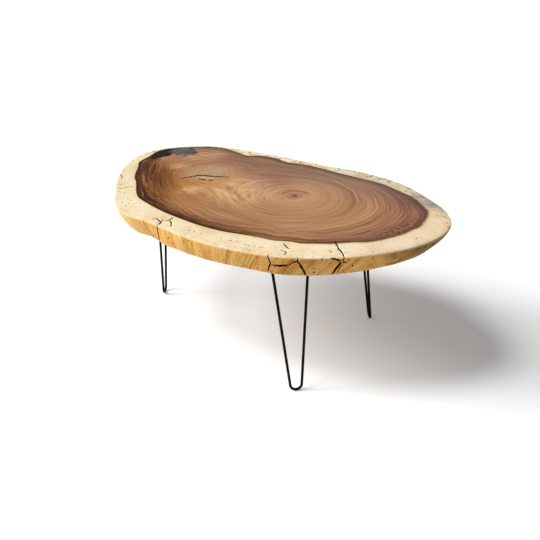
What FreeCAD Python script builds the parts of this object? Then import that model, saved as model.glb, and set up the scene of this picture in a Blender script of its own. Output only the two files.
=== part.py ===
import FreeCAD, Part
import math
import os

# Live edge table: a cross-cut slice of a trunk on three two-rod hairpin legs.
# Millimetres, +Z up. The origin is on the floor under the middle of the slab, +X along its length.

# Slab
SLAB_LENGTH = 1145.0
SLAB_WIDTH = 647.0
SLAB_THICKNESS = 65.0
UNDERCUT = 48.0
UPPER_EASE = 4.0
LOWER_EASE = 3.0

# The slab's upper rim, anticlockwise from the right-hand end: shares of its half length and half
# width, then the share of the undercut by which the lower rim lies inside the upper one there.
RIM_SHARES = (
    (1.000, 0.140, 1.00),
    (0.975, 0.365, 0.95),
    (0.885, 0.575, 0.85),
    (0.777, 0.712, 0.75),
    (0.680, 0.820, 0.70),
    (0.575, 0.908, 0.65),
    (0.440, 0.974, 0.60),
    (0.280, 1.000, 0.55),
    (0.080, 0.988, 0.60),
    (-0.140, 0.990, 0.65),
    (-0.370, 0.976, 0.60),
    (-0.600, 0.945, 0.60),
    (-0.755, 0.870, 0.60),
    (-0.890, 0.705, 0.60),
    (-0.980, 0.510, 0.62),
    (-1.000, 0.320, 0.65),
    (-0.965, 0.040, 0.60),
    (-0.870, -0.265, 0.60),
    (-0.740, -0.535, 0.58),
    (-0.605, -0.780, 0.55),
    (-0.500, -0.888, 0.58),
    (-0.415, -0.918, 0.55),
    (-0.320, -0.918, 0.50),
    (-0.235, -0.940, 0.30),
    (-0.130, -0.968, 0.32),
    (0.000, -0.996, 0.40),
    (0.130, -1.000, 0.48),
    (0.290, -0.966, 0.52),
    (0.440, -0.910, 0.48),
    (0.600, -0.786, 0.52),
    (0.750, -0.605, 0.70),
    (0.870, -0.390, 0.90),
    (0.950, -0.180, 1.00),
)

# The side's profile: shares of the thickness above the underside, then of the undercut left there.
SIDE_PROFILE_SHARES = ((0.0, 1.0), (0.38, 0.52), (0.76, 0.12), (1.0, 0.0))

# Resin fill of the void behind the left-hand end of the heartwood.
RESIN_DEPTH = 18.0
RESIN_OUTLINE_SHARES = (
    (-0.888, 0.277),
    (-0.930, 0.360),
    (-0.940, 0.468),
    (-0.922, 0.577),
    (-0.880, 0.668),
    (-0.832, 0.722),
    (-0.785, 0.735),
    (-0.748, 0.695),
    (-0.712, 0.635),
    (-0.733, 0.580),
    (-0.742, 0.478),
    (-0.768, 0.540),
    (-0.794, 0.487),
    (-0.832, 0.520),
    (-0.830, 0.425),
    (-0.854, 0.372),
)

# Hairpin rods: the leg's height runs from the floor to the slab's underside.
LEG_HEIGHT = 406.0
ROD_DIAMETER = 8.0
ROD_SPREAD = 102.0
FOOT_BEND_RADIUS = 17.0

# Each leg's name, then in the same order its place, as shares of the slab's half length and half
# width, the way that it faces and how far it leans outwards.
LEG_NAMES = ("end", "front", "back")
LEG_PLACE_SHARES = ((-0.740, 0.088), (0.408, -0.580), (0.397, 0.678))
LEG_FACING_DEGREES = (207.0, -44.6, 40.3)
LEG_LEAN_DEGREES = (4.4, 5.3, 4.9)

# Mounting plates and the welds that carry the rods.
PLATE_WIDTH = 60.0
PLATE_THICKNESS = 4.0
PLATE_MARGIN = 5.0
PLATE_CORNER_RADIUS = 8.0
WELD_SIZE = 4.0
WELD_TOE = 0.5

# Pan-head wood screws, and their places as shares of the plate's half length and half width.
SCREW_LENGTH = 32.0
SCREW_DIAMETER = 5.0
SCREW_TIP_LENGTH = 6.0
SCREW_HEAD_DIAMETER = 10.0
SCREW_HEAD_HEIGHT = 3.6
SCREW_HEAD_ROUNDING = 1.6
SCREW_RECESS_LENGTH = 5.0
SCREW_RECESS_WIDTH = 1.2
SCREW_RECESS_DEPTH = 1.8
SCREW_CLEARANCE = 0.1
PLATE_HOLE_CLEARANCE = 0.3
SCREW_PLACE_SHARES = ((-0.72, -0.45), (0.72, -0.45), (-0.36, 0.36), (0.36, 0.36))

# How far a cutting shape runs past the face that it cuts, and how level a level edge lies.
OVERRUN = 10.0
LEVEL_TOLERANCE = 0.05

# Sizes that follow from those above.
HALF_LENGTH = SLAB_LENGTH / 2
HALF_WIDTH = SLAB_WIDTH / 2
TABLE_HEIGHT = LEG_HEIGHT + SLAB_THICKNESS
PLATE_UNDERSIDE = LEG_HEIGHT - PLATE_THICKNESS
ROD_RADIUS = ROD_DIAMETER / 2
ROD_EDGE = ROD_RADIUS + WELD_SIZE + PLATE_MARGIN
PLATE_LENGTH = ROD_SPREAD + 2 * ROD_EDGE
PLATE_SETBACK = PLATE_WIDTH / 2 - ROD_EDGE
UP = FreeCAD.Vector(0, 0, 1)


def spot(x, y, z):
    return FreeCAD.Vector(x, y, z)


def closed_curve(points):
    """A smooth closed curve through the points."""
    curve = Part.BSplineCurve()
    curve.interpolate(Points=points, PeriodicFlag=True)
    return curve


def rim_section(height_share, undercut_share):
    """The slab's outline at one height, drawn in from the upper rim by its undercut there."""
    rim = [spot(x * HALF_LENGTH, y * HALF_WIDTH, 0) for x, y, _ in RIM_SHARES]
    curve = closed_curve(rim)
    lift = UP * (LEG_HEIGHT + height_share * SLAB_THICKNESS)
    drawn_in = []
    for point, (_, _, share) in zip(rim, RIM_SHARES):
        along = curve.tangent(curve.parameter(point))[0]
        inward = UP.cross(along)
        drawn_in.append(point + inward * (UNDERCUT * undercut_share * share) + lift)
    return Part.Wire(closed_curve(drawn_in).toShape())


def level_edges(shape, height):
    """The edges of a shape that lie flat at one height."""
    found = []
    for edge in shape.Edges:
        box = edge.BoundBox
        if max(abs(box.ZMin - height), abs(box.ZMax - height)) < LEVEL_TOLERANCE:
            found.append(edge)
    return found


def make_slab_blank():
    """The slice of trunk, with its rims eased, before any hole is made in it."""
    sections = [rim_section(height, undercut) for height, undercut in SIDE_PROFILE_SHARES]
    blank = Part.makeLoft(sections, True, False)
    blank = blank.makeFillet(UPPER_EASE, level_edges(blank, TABLE_HEIGHT))
    return blank.makeFillet(LOWER_EASE, level_edges(blank, LEG_HEIGHT))


def make_resin(height):
    """The resin's outline, raised from the void's floor by the given height."""
    floor = TABLE_HEIGHT - RESIN_DEPTH
    points = [spot(x * HALF_LENGTH, y * HALF_WIDTH, floor) for x, y in RESIN_OUTLINE_SHARES]
    outline = Part.Wire(closed_curve(points).toShape())
    return Part.Face(outline).extrude(UP * height)


def leg_directions(leg):
    """The leg's place under the plate, and its directions along the plate, outwards and down."""
    facing = math.radians(LEG_FACING_DEGREES[leg])
    lean = math.radians(LEG_LEAN_DEGREES[leg])
    outward = spot(math.cos(facing), math.sin(facing), 0)
    along = UP.cross(outward)
    down = outward * math.sin(lean) - UP * math.cos(lean)
    x, y = LEG_PLACE_SHARES[leg]
    place = spot(x * HALF_LENGTH, y * HALF_WIDTH, PLATE_UNDERSIDE)
    return place, along, outward, down


def rod_lines(leg):
    """The rod's centre line: both tops, both ends of its foot bend, and the bend's lowest point."""
    place, along, _, down = leg_directions(leg)
    lean = math.radians(LEG_LEAN_DEGREES[leg])
    reach = (PLATE_UNDERSIDE - ROD_RADIUS) / math.cos(lean)
    centre = reach - FOOT_BEND_RADIUS
    half_spread = ROD_SPREAD / 2
    to_centre = math.hypot(half_spread, centre)
    taper = math.atan2(half_spread, centre) - math.asin(FOOT_BEND_RADIUS / to_centre)
    bend_out = along * (FOOT_BEND_RADIUS * math.cos(taper))
    bend_start = place + down * (centre + FOOT_BEND_RADIUS * math.sin(taper))
    tops = [place + along * half_spread, place - along * half_spread]
    bends = [bend_start + bend_out, bend_start - bend_out]
    return tops, bends, place + down * reach


def above_plate_underside(leg):
    """A block over the plate's underside, which trims what is welded to it."""
    place = leg_directions(leg)[0]
    return Part.makeCylinder(PLATE_LENGTH, 2 * OVERRUN, place, UP)


def long_rod(leg):
    """The bent rod, with its ends running past the plate's underside."""
    tops, bends, foot = rod_lines(leg)
    rising = [(top - bend).normalize() * OVERRUN for top, bend in zip(tops, bends)]
    ends = [top + rise for top, rise in zip(tops, rising)]
    first = Part.LineSegment(ends[0], bends[0]).toShape()
    bend = Part.Arc(bends[0], foot, bends[1]).toShape()
    second = Part.LineSegment(bends[1], ends[1]).toShape()
    section = Part.Wire(Part.makeCircle(ROD_RADIUS, ends[0], rising[0]))
    return Part.Wire([first, bend, second]).makePipeShell([section], True, False)


def make_rod(leg):
    return long_rod(leg).cut(above_plate_underside(leg))


def make_welds(leg):
    """A fillet weld around each rod's top."""
    tops, bends, _ = rod_lines(leg)
    cone_height = WELD_SIZE + OVERRUN
    toe_radius = ROD_RADIUS + WELD_TOE
    flare = (WELD_SIZE - WELD_TOE) * cone_height / WELD_SIZE
    beads = []
    for top, bend in zip(tops, bends):
        rise = (top - bend).normalize()
        toe = top - rise * WELD_SIZE
        cone = Part.makeCone(toe_radius, toe_radius + flare, cone_height, toe, rise)
        beads.append(cone.cut(long_rod(leg)).cut(above_plate_underside(leg)))
    return Part.makeCompound(beads)


def plate_centre(leg):
    place, _, outward, _ = leg_directions(leg)
    return place - outward * PLATE_SETBACK


def screw_places(leg):
    """Where each screw's head bears on the plate."""
    _, along, outward, _ = leg_directions(leg)
    centre = plate_centre(leg)
    across = PLATE_LENGTH / 2
    inward = PLATE_WIDTH / 2
    return [centre + along * (u * across) + outward * (v * inward) for u, v in SCREW_PLACE_SHARES]


def make_plate(leg):
    """The flat plate with rounded corners and a hole for each screw."""
    plate = Part.makeBox(
        PLATE_LENGTH,
        PLATE_WIDTH,
        PLATE_THICKNESS,
        spot(-PLATE_LENGTH / 2, -PLATE_WIDTH / 2, 0),
    )
    corners = [edge for edge in plate.Edges if edge.BoundBox.ZLength > PLATE_THICKNESS / 2]
    plate = plate.makeFillet(PLATE_CORNER_RADIUS, corners)
    plate.rotate(spot(0, 0, 0), UP, LEG_FACING_DEGREES[leg] - 90)
    plate.translate(plate_centre(leg))
    hole_radius = SCREW_DIAMETER / 2 + PLATE_HOLE_CLEARANCE
    for place in screw_places(leg):
        start = place - UP * OVERRUN
        plate = plate.cut(Part.makeCylinder(hole_radius, PLATE_THICKNESS + 2 * OVERRUN, start, UP))
    return plate


def make_screw(place):
    """A screw whose head bears on the plate at the given place, pointing up."""
    radius = SCREW_DIAMETER / 2
    body_length = SCREW_LENGTH - SCREW_TIP_LENGTH
    shank = Part.makeCylinder(radius, body_length, place, UP)
    tip = Part.makeCone(radius, 0, SCREW_TIP_LENGTH, place + UP * body_length, UP)
    head_bottom = place - UP * SCREW_HEAD_HEIGHT
    head = Part.makeCylinder(SCREW_HEAD_DIAMETER / 2, SCREW_HEAD_HEIGHT, head_bottom, UP)
    head = head.makeFillet(SCREW_HEAD_ROUNDING, level_edges(head, head_bottom.z))
    for length, width in (
        (SCREW_RECESS_LENGTH, SCREW_RECESS_WIDTH),
        (SCREW_RECESS_WIDTH, SCREW_RECESS_LENGTH),
    ):
        corner = head_bottom - spot(length / 2, width / 2, OVERRUN)
        head = head.cut(Part.makeBox(length, width, SCREW_RECESS_DEPTH + OVERRUN, corner))
    return head.fuse([shank, tip]).removeSplitter()


def make_screws(leg):
    return Part.makeCompound([make_screw(place) for place in screw_places(leg)])


def make_slab():
    """The slab with the void for its resin and a pilot hole for each screw."""
    slab = make_slab_blank().cut(make_resin(RESIN_DEPTH + OVERRUN))
    radius = SCREW_DIAMETER / 2 + SCREW_CLEARANCE
    depth = SCREW_LENGTH - PLATE_THICKNESS + SCREW_CLEARANCE
    for leg in range(len(LEG_NAMES)):
        for place in screw_places(leg):
            start = spot(place.x, place.y, LEG_HEIGHT - OVERRUN)
            slab = slab.cut(Part.makeCylinder(radius, depth + OVERRUN, start, UP))
    return slab


def make_table():
    """Every piece of the table by name."""
    pieces = {"slab": make_slab(), "resin_fill": make_resin(RESIN_DEPTH)}
    for leg, name in enumerate(LEG_NAMES):
        pieces[name + "_leg_rod"] = make_rod(leg)
        pieces[name + "_leg_plate"] = make_plate(leg)
        pieces[name + "_leg_welds"] = make_welds(leg)
        pieces[name + "_leg_screws"] = make_screws(leg)
    return pieces


os.makedirs("parts", exist_ok=True)
for name, shape in make_table().items():
    shape.exportStep("parts/" + name + ".step")
    volume = shape.Volume
    print(name, "solids", len(shape.Solids), "valid", shape.isValid(), "volume", round(volume))
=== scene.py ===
"""Looks of the live edge table: a thick slice of trunk on three black hairpin legs."""

import math
from types import SimpleNamespace

import bmesh
import bpy
import numpy as np
from mathutils import Matrix, Vector, noise
from mathutils.bvhtree import BVHTree
from mathutils.geometry import delaunay_2d_cdt


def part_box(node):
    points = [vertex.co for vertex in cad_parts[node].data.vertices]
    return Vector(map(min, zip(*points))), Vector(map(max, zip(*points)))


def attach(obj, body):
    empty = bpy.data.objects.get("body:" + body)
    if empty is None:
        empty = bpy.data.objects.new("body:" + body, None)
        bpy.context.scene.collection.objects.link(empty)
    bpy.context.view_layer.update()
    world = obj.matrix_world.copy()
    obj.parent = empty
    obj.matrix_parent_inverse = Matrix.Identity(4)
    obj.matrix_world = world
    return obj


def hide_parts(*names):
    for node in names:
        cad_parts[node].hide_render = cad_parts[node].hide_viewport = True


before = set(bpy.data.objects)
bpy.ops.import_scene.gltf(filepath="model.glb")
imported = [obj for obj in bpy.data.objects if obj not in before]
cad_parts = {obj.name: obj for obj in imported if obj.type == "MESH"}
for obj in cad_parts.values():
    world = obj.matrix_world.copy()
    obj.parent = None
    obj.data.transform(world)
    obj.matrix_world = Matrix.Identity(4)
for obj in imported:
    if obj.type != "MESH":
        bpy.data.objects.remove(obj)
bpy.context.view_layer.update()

# Camera, found from the legs and the rim in the photo.
IMAGE_SIZE = 540
SENSOR_WIDTH = 36.0
LENS = 50.0
CAMERA_PLACE = (1.2328, -1.6513, 1.3426)
CAMERA_TURN = math.radians(36.07)
CAMERA_DIP = math.radians(28.55)
CAMERA_ROLL = math.radians(2.60)

# Places on the slab's top, as pixels of the photo.
HEARTWOOD_EDGE_PIXELS = (
    (160, 150.3), (176, 148), (202.6, 146.7), (223, 148), (237, 152), (247, 155.5), (260, 155.5),
    (277, 158.4), (285.8, 161.8), (310, 165.5), (342.7, 173.9), (370.6, 180.6), (385, 184.8),
    (400, 191.4), (412, 196.7), (420, 202.4), (426.8, 209.1), (428.7, 211), (427.6, 217.6),
    (420.6, 226.4), (413, 230), (404.8, 234), (397, 236.4), (373, 241.8), (350, 242.8), (330, 244),
    (315.9, 243.8), (301.6, 243.5), (290, 241.6), (272.9, 240.4), (258.9, 237.5), (244.8, 235),
    (221.9, 231.2), (202.8, 226.4), (190, 222.2), (169.6, 214.5), (158.8, 209.6), (147.9, 203.7),
    (138.2, 197.2), (136, 190), (136, 182.5), (134.7, 176), (138.2, 166.3), (139.3, 161.9), (149.6, 156),
)
PITH_PIXEL = (294.4, 195.9)
EYE_PIXEL = (207, 172.5)
EYELID_PIXELS = ((203, 177.5), (211, 178.2))
FAN_PIXEL = (240, 192)
SMOKE_PIXEL = (271, 182)
KNOT_PIXEL = (241, 169)
CRACKLE_PIXEL = (409, 229)
SHADOW_SPOT_PIXEL = (152, 158)
WEATHERED_PIXEL = (431, 200)
RESIN_HIGHLIGHT_PIXEL = (184, 151)
RESIN_TIP_PIXEL = (197, 150)
# Golden flames, lightened partly as painted sheen: the pixel of each, and its reach in metres.
FLAMES = (
    (207, 156, 0.075), (221, 190, 0.042), (248, 189, 0.05),
    (176, 166, 0.045), (197, 158, 0.045), (192, 190, 0.055),
)
# How much a spot's distances count along and across the eye's crack: under 1 makes the spot longer.
FLAME_STRETCH = (0.7, 1.0)
HALO_STRETCH = (0.9, 1.1)
EYELID_STRETCH = (0.3, 1.0)
CRACKLE_STRETCH = (0.55, 1.0)
RESIN_HIGHLIGHT_STRETCH = (1.0, 0.5)

# Cracks: width and depth in metres, and the pixels of the photo that each runs through.
CRACKS = (
    (0.009, 0.012, ((181, 178.3), (188, 177.3), (194, 176.2), (199, 175.5), (205, 175.4), (210, 176.1),
                    (215, 176.5), (221, 176.6), (229, 177.1))),
    (0.008, 0.008, ((198.5, 179), (202, 179.2), (206, 180.3))),
    (0.0066, 0.006, ((208.5, 180.8), (211, 180.4), (213, 180.1))),
    (0.0047, 0.009, ((156, 218), (158.5, 219.8), (160, 221.3), (161, 222.8), (159.5, 224.2), (157.2, 225))),
    (0.0057, 0.011, ((157.1, 225.4), (157, 226.5), (157.5, 230), (158.5, 235), (159.5, 240),
                     (160.2, 243.5))),
    (0.0041, 0.006, ((160.8, 222.3), (162.5, 220.8), (163.8, 219.2))),
    (0.0046, 0.008, ((165.6, 220.7), (168.5, 220.5), (170.5, 219.5), (173, 217.6))),
    (0.0041, 0.006, ((169.8, 220.2), (171.3, 222.3), (171, 224.5), (171, 226.8))),
    (0.0038, 0.006, ((283.5, 243.6), (286, 246), (287.5, 247.5), (290, 248.7))),
    (0.0038, 0.006, ((280.6, 250.3), (284, 251.3), (286.6, 251.9), (285.6, 253.5), (284.6, 254.8))),
    (0.0049, 0.010, ((268, 254.9), (268, 258), (269.5, 260.5), (270.3, 263), (269.5, 266), (268.5, 268),
                     (268, 271))),
    (0.0085, 0.012, ((272, 264.9), (276, 265.5), (280, 265.7), (284, 265.5), (288.5, 265.3))),
    (0.0046, 0.007, ((287.5, 265.4), (291, 264), (293, 262.5), (296, 261.5), (297.5, 259.6),
                     (298.3, 257.6))),
    (0.0075, 0.011, ((296.6, 260.4), (299, 263), (301, 266.5), (303, 269.5), (304.5, 272), (305.3, 275.5))),
    (0.0046, 0.009, ((335, 240.6), (336.5, 244), (338, 246.5), (338.8, 248.8), (341, 251), (342.8, 253.5),
                     (343.9, 256), (344.2, 257.6))),
    (0.0078, 0.013, ((344.3, 257.6), (343.6, 259), (342, 261), (340.3, 263), (338.4, 265.7), (336, 268.7),
                     (334, 271.7), (331.6, 275.3))),
    (0.0028, 0.006, ((342.4, 263.6), (340.4, 267), (338.4, 271), (336.4, 274.7))),
    (0.0068, 0.009, ((330.5, 258.4), (334, 258.9), (337, 259.6), (340, 260.6), (342.4, 261.6),
                     (345, 262.4), (347.6, 263))),
    (0.003, 0.004, ((329.5, 250.6), (332.2, 252.2))),
    (0.0057, 0.006, ((321.2, 259.2), (322.6, 258.9))),
    (0.0059, 0.006, ((313.4, 272.6), (314.4, 271.6))),
    (0.0049, 0.006, ((168, 238.2), (169, 237.8))),
    (0.0041, 0.005, ((349.2, 260), (349.8, 261))),
    (0.0049, 0.005, ((352.2, 264.9), (353, 266.2))),
    (0.0041, 0.004, ((344.8, 252.7), (346.2, 252.8))),
    (0.0026, 0.004, ((115.6, 188.6), (119, 188.1), (123, 188.4), (127, 187.4), (131, 186.8),
                     (134.5, 186.2))),
    (0.003, 0.004, ((152, 219.2), (154.4, 218.4))),
    (0.0032, 0.004, ((121.4, 174.4), (122.4, 177.2), (121.8, 179))),
)
# Small dark specks in the sapwood and the live edge: the pixel of each, and its width in metres.
SPECKS = (
    (120, 191.5, 0.003), (125, 193, 0.0035), (119, 195.4, 0.003), (124, 196.8, 0.004),
    (128.4, 198.6, 0.003), (118.6, 199.6, 0.0032), (131.6, 200.6, 0.003), (122.8, 202.4, 0.0035),
    (127, 205.4, 0.003), (119.6, 181.4, 0.0035), (124.4, 171.4, 0.003), (128.6, 190.4, 0.0042),
    (221.5, 239, 0.0061), (229.2, 240.6, 0.0041), (231.6, 240.4, 0.0054), (237.5, 241.6, 0.0041),
    (240.6, 241.4, 0.0046), (246.2, 244.6, 0.0038), (249.5, 245.2, 0.0043), (255, 246, 0.0054),
    (260, 247.6, 0.0068), (262.6, 247, 0.0061), (190, 230, 0.0041), (194.5, 231.2, 0.0057),
    (202, 233.6, 0.0038), (226.5, 242.4, 0.0032), (373, 252, 0.0061), (417, 238.4, 0.0049),
    (122.6, 176.4, 0.0046), (121.4, 184.8, 0.0041), (117, 186, 0.0035), (121.6, 198.4, 0.0041),
    (129, 203, 0.0032), (240.6, 262.4, 0.0062), (251.5, 255.6, 0.0038), (256.6, 257, 0.0043),
    (241, 267, 0.0041), (245, 265.6, 0.0046), (188.4, 240.4, 0.0038), (172.5, 243.4, 0.0041),
    (153.6, 236.4, 0.0046), (357, 260.4, 0.0038), (361, 266, 0.0041), (406, 251.6, 0.0057),
    (395.5, 258.6, 0.0054), (327, 262, 0.0032), (277.5, 258.5, 0.0032),
)
SPECK_DEPTH = 0.003
SPECK_HALF_PIXELS = (0.5, -0.1)
CRACK_SEED = 7
CRACK_STEP_PIXELS = 1.1
CRACK_JITTER_PIXELS = 0.22
# A crack's width at its tips, how blunt it ends, and how unevenly it opens.
CRACK_TIP_SHARE = 0.25
CRACK_BLUNTNESS = 0.6
CRACK_UNEVENNESS = (0.75, 1.15)
# How far cutters stand out of the slab, and how deep a face lies that belongs to the inside of a crack.
CUTTER_LIFT = 0.0006
RESIN_CUTTER_LIFT = 0.005
CRACK_LIP = 0.0003
# Points of the resin's mesh closer than this are one.
MERGE_GAP = 1e-6

# Slab mesh: points round the rim, rows up the side, and in metres how far the last rows lie from a face.
COLUMNS = 1000
SIDE_ROWS = 22
EASE_ROWS = (0.00005, 0.0004, 0.0012, 0.0024)
SIDE_START = 1.6 * EASE_ROWS[-1]
TOP_SPACING = 0.007
BOTTOM_SPACING = 0.016
SHARP_ANGLE = math.radians(40)
# The share of its spacing that a sawn face's inner points keep clear of the rim.
CAP_CLEARANCE = 0.7
# The live edge's relief: its depth, and how fast it changes along the rim and up the side.
FLUTE_DEPTH = 0.0026
FLUTE_PACE = (21, 5)
RIPPLE_DEPTH = 0.0009
RIPPLE_PACE = (75, 11)
# How much of the relief is lost at the top rim, and how close to it.
CALM_SHARE = 0.75
CALM_POWER = 6

# Heartwood: smoothness of its edge, and how far the edge draws in for each metre below the top.
HEART_STEPS = 12
HEART_TAPER = 0.25
# Growth rings: the weights of the two centres that they run round, and the poles beyond the heartwood's
# edge that bend them to its outline: one for every few points of the edge, so much further out.
PITH_SHARE = 0.68
EYE_SHARE = 0.32
POLE_STEP = 6
POLE_REACH = 1.4
RING_SCALE_LIMIT = 5
RING_GROWTH = 1.25
# Lines along the growth rings: count from pith to edge, change along a ring, detail, and strength.
RING_LINES = ((7, 2.0, 2, 0.22), (40, 3.0, 3, 0.19), (150, 7.0, 2, 0.36))
GROWTH_LINES = (42, 1.5, 1)
GOLDEN_DASHES = (44, 20.0, 3)
# Other grain: how many lines or streaks go to a metre, and how much they drift along their length.
EDGE_STRIPES = 95
EDGE_STRIPE_DRIFT = 5.0
SAP_RINGS = 230
SAP_RING_DRIFT = 2.5
FINE_STREAKS = 190
BROAD_STREAKS = 36
STREAK_DRIFT = 0.055
STREAK_RELIEF = 0.0012
# Hairline checks in the sapwood: number to a radian, drift inwards, and length to width of their oval.
CHECKS = 60
CHECK_DRIFT = 14
CHECK_OVAL = 1.7

# Colours, as linear red, green and blue. In a ramp each comes with its place from 0 to 1.
HEART_RAMP = (
    (0.05, (0.016, 0.005, 0.001)), (0.25, (0.08, 0.026, 0.008)), (0.41, (0.205, 0.085, 0.034)),
    (0.55, (0.345, 0.162, 0.077)), (0.7, (0.53, 0.29, 0.145)), (0.9, (0.74, 0.46, 0.235)),
)
EYE_HALO_COLOUR = (0.48, 0.36, 0.235)
EYELID_COLOUR = (0.68, 0.52, 0.36)
RIGHT_EDGE_COLOUR = (0.1, 0.047, 0.03)
BACK_EDGE_COLOUR = (0.12, 0.072, 0.05)
CRACKLE_COLOUR = (0.075, 0.036, 0.022)
# Painted shadow beside the resin's left tip.
SHADOW_SPOT_COLOUR = (0.035, 0.013, 0.006)
CRISP_EDGE_COLOUR = (0.024, 0.008, 0.003)
SAP_RAMP = ((0.34, (0.85, 0.63, 0.36)), (0.5, (0.94, 0.78, 0.515)), (0.64, (0.975, 0.85, 0.61)))
SAP_RING_COLOUR = (0.74, 0.51, 0.27)
SAP_MOTTLE_COLOUR = (0.7, 0.5, 0.28)
BESIDE_HEART_COLOUR = (0.8, 0.55, 0.22)
CHECK_COLOUR = (0.33, 0.22, 0.12)
WEATHERED_COLOUR = (0.31, 0.27, 0.235)
WORN_COLOUR = (0.32, 0.24, 0.17)
SIDE_RAMP = (
    (0.33, (0.34, 0.14, 0.032)), (0.43, (0.66, 0.32, 0.075)), (0.5, (0.87, 0.47, 0.13)),
    (0.57, (0.94, 0.6, 0.21)), (0.68, (0.97, 0.76, 0.38)),
)
BLOTCH_COLOUR = (0.2, 0.1, 0.035)
PIT_COLOUR = (0.13, 0.065, 0.025)
# Painted light on the live edge's left end.
PAINTED_LIGHT_SIDE_COLOUR = (0.97, 0.79, 0.45)
ARRIS_COLOUR = (0.9, 0.68, 0.36)
# Painted shade inside cracks and specks.
CRACK_SHADE_RAMP = ((0.3, (0.02, 0.006, 0.002)), (0.7, (0.07, 0.026, 0.011)))
RESIN_RAMP = (
    (0.35, (0.012, 0.007, 0.004)), (0.5, (0.034, 0.03, 0.028)),
    (0.7, (0.108, 0.103, 0.111)), (0.95, (0.16, 0.152, 0.16)),
)
RESIN_TIP_COLOUR = (0.16, 0.11, 0.085)
STEEL_RAMP = ((0.35, (0.003, 0.003, 0.003)), (0.65, (0.008, 0.008, 0.0085)))
ZINC_RAMP = ((0.3, (0.42, 0.42, 0.43)), (0.7, (0.62, 0.62, 0.6)))
WHITE = (1, 1, 1)
FLOOR_COLOUR = (0.915, 0.93, 0.94)
# Tints, which multiply the colour under them.
ORANGE_TINT = (1.06, 0.87, 0.45)
# Painted reflection on the heartwood's back, and the grey of the smoky patch.
SHEEN_GREY_TINT = (0.95, 1.15, 1.62)
MAUVE_TINT = (0.98, 0.98, 1.24)
# Painted shade on the sapwood's back right.
BACK_SHADE_TINT = (0.76, 0.82, 0.9)
# Painted shade on the sapwood's right end.
ROSY_SHADE_TINT = (0.9, 0.85, 0.86)
WARM_TINT = (1.0, 0.9, 0.75)
OLIVE_TINT = (0.95, 0.99, 0.94)
# Painted shade on the live edge: dimmer over its right half, much darker at its right end.
SIDE_SHADE_TINT = (0.81, 0.8, 0.81)
RIGHT_END_SHADE_TINT = (0.44, 0.46, 0.56)

# Finishes: how much they mirror, the strength of their bumps, and the roughness of bare wood.
WOOD_SPECULAR = 0.05
RESIN_SPECULAR = 0.008
STEEL_SPECULAR = 0.06
COAT_BUMP = 0.5
STREAK_BUMP = 0.6
BARE_ROUGHNESS = 0.9
# The shared coat: its broad unevenness against its grain in scale and share, and the range of both.
COAT_BROAD_SCALE = 0.06
COAT_BROAD_SHARE = 0.7
COAT_RANGE = (0.3, 0.7)

# Lamps: name, strength, softness, height, and turn from the photo's left towards the viewer.
LAMPS = (
    ("high_lamp", 1.4, math.radians(17), math.radians(61), math.radians(12)),
    ("low_lamp", 2.7, math.radians(26), math.radians(35), math.radians(-5)),
)
SKY_STRENGTH = 0.12
FLOOR_REACH = 30
FLOOR_LIFT = 0.21

slab_low, slab_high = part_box("slab")
slab_half = (slab_high - slab_low) / 2


def make_camera():
    """The camera at the photo's viewing angle."""
    camera = bpy.data.objects.new("camera", bpy.data.cameras.new("camera"))
    camera.data.lens = LENS
    camera.data.sensor_width = SENSOR_WIDTH
    turn = Matrix.Rotation(CAMERA_TURN, 4, "Z")
    dip = Matrix.Rotation(math.pi / 2 - CAMERA_DIP, 4, "X")
    roll = Matrix.Rotation(-CAMERA_ROLL, 4, "Z")
    camera.matrix_world = Matrix.Translation(CAMERA_PLACE) @ turn @ dip @ roll
    bpy.context.scene.collection.objects.link(camera)
    bpy.context.scene.camera = camera


def sight_line(pixel):
    """Where the camera stands, and the direction from there through a pixel of the photo."""
    stand = bpy.context.scene.camera.matrix_world
    focal = IMAGE_SIZE * LENS / SENSOR_WIDTH
    middle = IMAGE_SIZE / 2
    across = (pixel[0] - middle) / focal
    up = (middle - pixel[1]) / focal
    return stand.to_translation(), (stand.to_3x3() @ Vector((across, up, -1))).normalized()


def on_top(pixel):
    """The point of the slab's top that a pixel of the photo shows."""
    start, line = sight_line(pixel)
    return start + line * ((slab_high.z - start.z) / line.z)


def smooth_loop(points, steps):
    """A smooth closed line through points, with so many steps between each two."""
    corner = np.array(points, float)
    before, after, beyond = (np.roll(corner, k, axis=0) for k in (1, -1, -2))
    line = []
    for t in np.linspace(0, 1, steps, endpoint=False):
        line.append(0.5 * (2 * corner + (after - before) * t
                           + (2 * before - 5 * corner + 4 * after - beyond) * t ** 2
                           + (3 * corner - before - 3 * after + beyond) * t ** 3))
    return np.stack(line, axis=1).reshape(-1, corner.shape[1])


def signed_depth(places, loop):
    """How far inside a closed loop each place lies, in metres. Outside it is negative."""
    batch_size = 1000
    tiny = 1e-12
    ends = np.roll(loop, -1, axis=0)
    runs = ends - loop
    lengths = (runs ** 2).sum(1)
    rise = np.where(runs[:, 1] == 0, tiny, runs[:, 1])
    depths = []
    for first in range(0, len(places), batch_size):
        batch = places[first:first + batch_size, None, :]
        share = np.clip(((batch - loop) * runs).sum(2) / lengths, 0, 1)
        gap = batch - loop - share[..., None] * runs
        nearest = np.sqrt((gap ** 2).sum(2).min(1))
        crosses = (loop[:, 1] > batch[..., 1]) != (ends[:, 1] > batch[..., 1])
        crossing = loop[:, 0] + (batch[..., 1] - loop[:, 1]) * runs[:, 0] / rise
        inside = (crosses & (batch[..., 0] < crossing)).sum(1) % 2 == 1
        depths.append(np.where(inside, nearest, -nearest))
    return np.concatenate(depths)


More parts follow.
